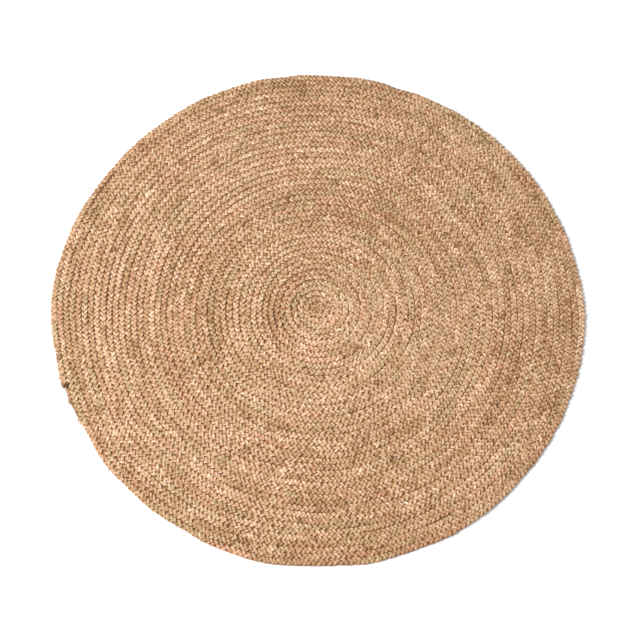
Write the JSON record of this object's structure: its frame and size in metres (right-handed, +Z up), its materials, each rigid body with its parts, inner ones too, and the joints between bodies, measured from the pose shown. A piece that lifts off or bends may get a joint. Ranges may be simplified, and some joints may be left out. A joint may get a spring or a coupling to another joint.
{
  "type": "area rug",
  "caption": "Round flat area rug of jute: one three-strand plait wound outwards in a spiral and laced edge to edge, with a bound tail at the rim.",
  "frame": {"origin": "centre of the spiral, on the underside that lies on the floor", "axes": "+Z up, out of the face that is walked on; +X to the right and +Y away, with the outer end of the plait to the left and a little nearer"},
  "size_m": [1.2054, 1.1986, 0.009],
  "materials": {
    "jute_braid": "matt natural jute plait, undyed straw brown",
    "jute_thread": "matt twisted jute thread"
  },
  "bodies": {
    "root": {"braid_start": "jute_braid", "braid_row_01": "jute_braid", "braid_row_02": "jute_braid", "braid_row_03": "jute_braid", "braid_row_04": "jute_braid", "braid_row_05": "jute_braid", "braid_row_06": "jute_braid", "braid_row_07": "jute_braid", "braid_row_08": "jute_braid", "braid_row_09": "jute_braid", "braid_row_10": "jute_braid", "braid_row_11": "jute_braid", "braid_row_12": "jute_braid", "braid_row_13": "jute_braid", "braid_row_14": "jute_braid", "braid_row_15": "jute_braid", "braid_row_16": "jute_braid", "braid_row_17": "jute_braid", "braid_row_18": "jute_braid", "braid_row_19": "jute_braid", "braid_row_20": "jute_braid", "braid_row_21": "jute_braid", "braid_row_22": "jute_braid", "braid_row_23": "jute_braid", "braid_row_24": "jute_braid", "braid_row_25": "jute_braid", "braid_row_26": "jute_braid", "braid_row_27": "jute_braid", "braid_row_28": "jute_braid", "braid_row_29": "jute_braid", "braid_row_30": "jute_braid", "braid_row_31": "jute_braid", "braid_row_32": "jute_braid", "braid_row_33": "jute_braid", "braid_row_34": "jute_braid", "braid_row_35": "jute_braid", "braid_row_36": "jute_braid", "braid_row_37": "jute_braid", "braid_row_38": "jute_braid", "braid_row_39": "jute_braid", "braid_row_40": "jute_braid", "braid_row_41": "jute_braid", "braid_row_42": "jute_braid", "braid_row_43": "jute_braid", "braid_tail": "jute_braid", "lacing_thread": "jute_thread", "tail_binding": "jute_thread"}
  },
  "joints": []
}
